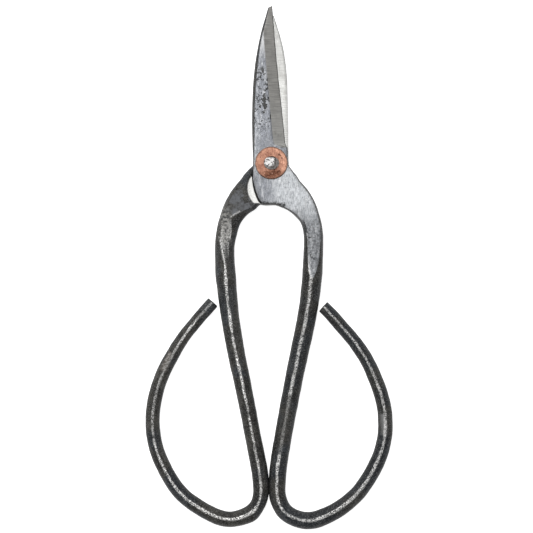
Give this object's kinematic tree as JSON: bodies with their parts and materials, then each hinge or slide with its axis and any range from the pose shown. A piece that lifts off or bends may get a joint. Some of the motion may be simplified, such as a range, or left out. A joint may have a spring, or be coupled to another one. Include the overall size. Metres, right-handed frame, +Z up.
{
  "type": "floral snips",
  "caption": "Hand-forged floral snips: bypass blades on a rivet with copper washers, and round bar handles bent into open finger loops.",
  "frame": {"origin": "on the rivet's axis, at the flat of the rear rivet head that the closed snips lie on", "axes": "+Y to the blade tips, +Z up out of the front rivet head, +X towards the handle of the front half"},
  "size_m": [0.0846, 0.1788, 0.01],
  "materials": {
    "forged_steel": "black forge scale on the bars and shoulders, worn bright along the top; ground and brushed on the blades and flats",
    "rivet_steel": "hammered bright facets",
    "copper": "satin copper with brown patina"
  },
  "bodies": {
    "rear": {"rear_half": "forged_steel", "rivet": "rivet_steel", "rear_washer": "copper", "front_washer": "copper"},
    "front": {"front_half": "forged_steel"}
  },
  "joints": [
    {"name": "pivot", "type": "hinge", "parent": "rear", "child": "front", "pos_m": [0, 0, 0.005], "axis": [0, 0, 1], "range_deg": [0, 40]}
  ]
}
